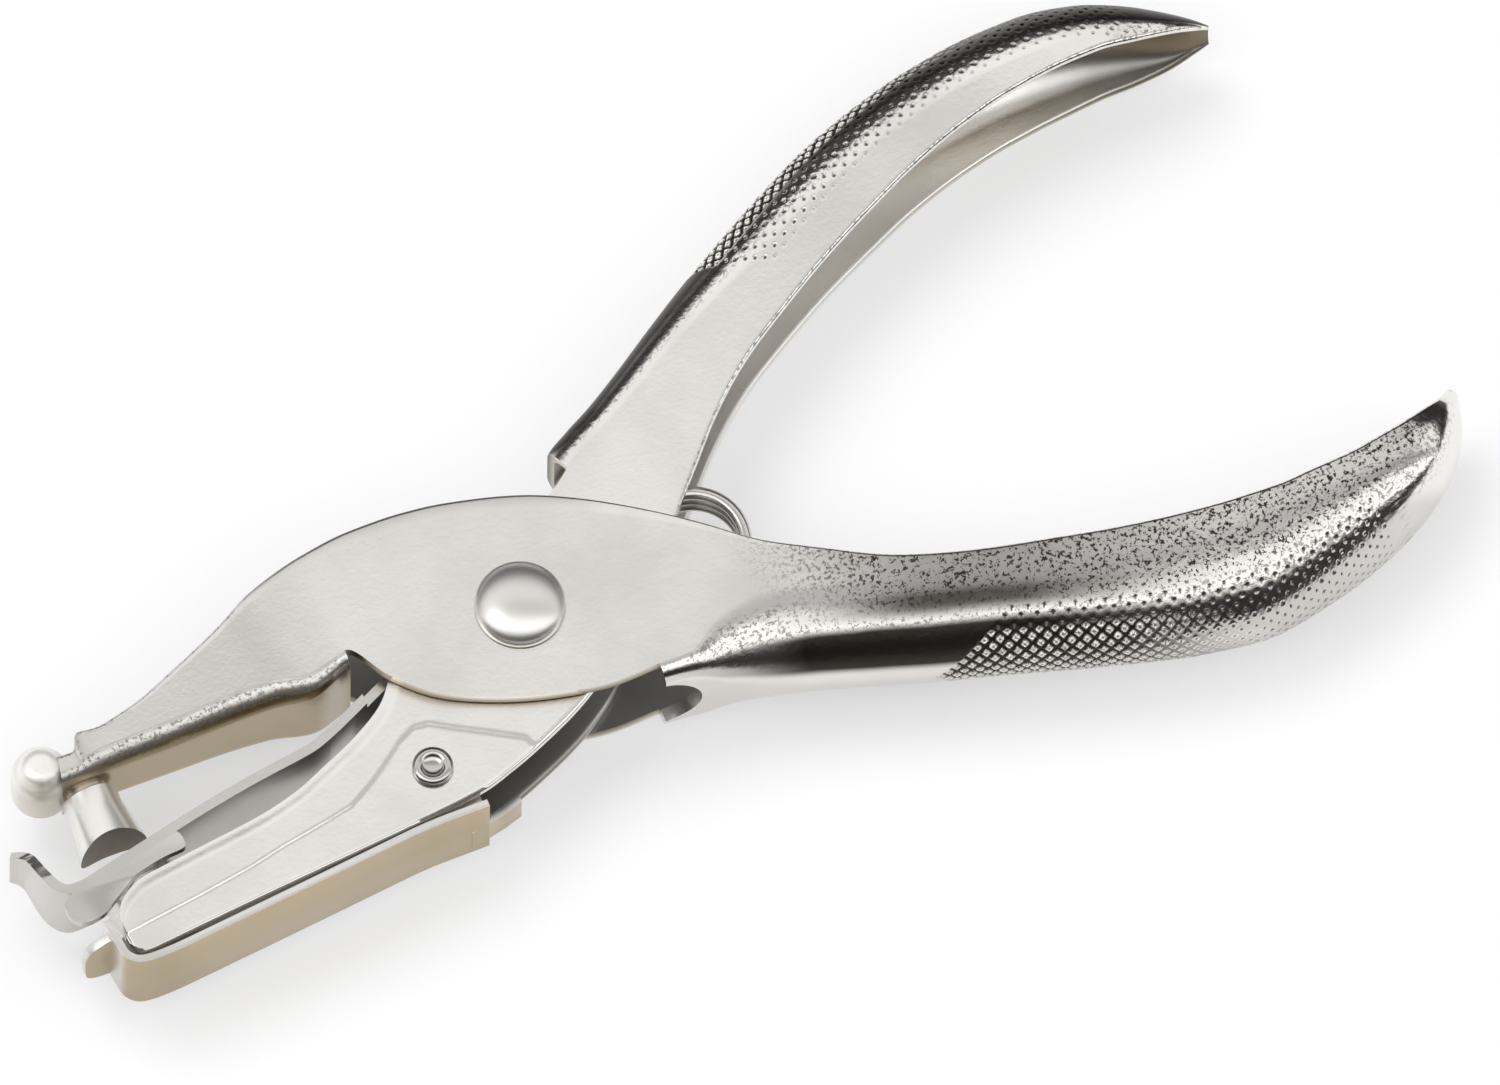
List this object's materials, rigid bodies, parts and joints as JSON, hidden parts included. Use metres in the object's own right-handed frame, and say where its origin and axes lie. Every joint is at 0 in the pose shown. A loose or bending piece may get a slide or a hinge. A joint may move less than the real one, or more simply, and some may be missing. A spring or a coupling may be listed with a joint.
{
  "type": "hand punch",
  "caption": "Single-hole hand punch in nickel-plated pressed steel: sprung channel levers on a domed rivet, flared punch pin, hooked paper guide over a die, and hinged chad tray",
  "frame": {"origin": "on the pivot axis, at the flat underside of the lower rivet head on which the tool lies", "axes": "+X runs along the tool from the jaws to the handles, +Y from the lower handle to the upper handle, +Z along the pivot rivet towards its domed head"},
  "size_m": [0.1346, 0.0624, 0.0155],
  "materials": {
    "satin_nickel_outer": "satin nickel plate over pressed steel",
    "satin_nickel_inner": "satin nickel plate over pressed steel",
    "bright_nickel": "bright nickel plate",
    "ground_steel": "ground tool steel",
    "spring_steel": "drawn spring wire"
  },
  "bodies": {
    "punch_lever_body": {"punch_lever": "satin_nickel_outer", "punch_pin": "ground_steel", "pivot_rivet": "bright_nickel", "return_spring": "spring_steel"},
    "die_lever_body": {"die_lever": "satin_nickel_inner", "paper_guide": "satin_nickel_inner", "die_bushing": "ground_steel", "tray_rivet": "bright_nickel"},
    "chad_tray_body": {"chad_tray": "satin_nickel_inner"}
  },
  "joints": [
    {"name": "squeeze", "type": "hinge", "parent": "punch_lever_body", "child": "die_lever_body", "pos_m": [0, 0, 0.0072], "axis": [0, 0, -1], "range_deg": [0, 7.5], "stiffness_Nm_per_rad": 1.2, "springref_deg": -20.05, "deforming": ["return_spring"]},
    {"name": "tray_hinge", "type": "hinge", "parent": "die_lever_body", "child": "chad_tray_body", "pos_m": [-0.0137, -0.0096, 0.0072], "axis": [0, 0, 1], "range_deg": [0, 12]}
  ]
}
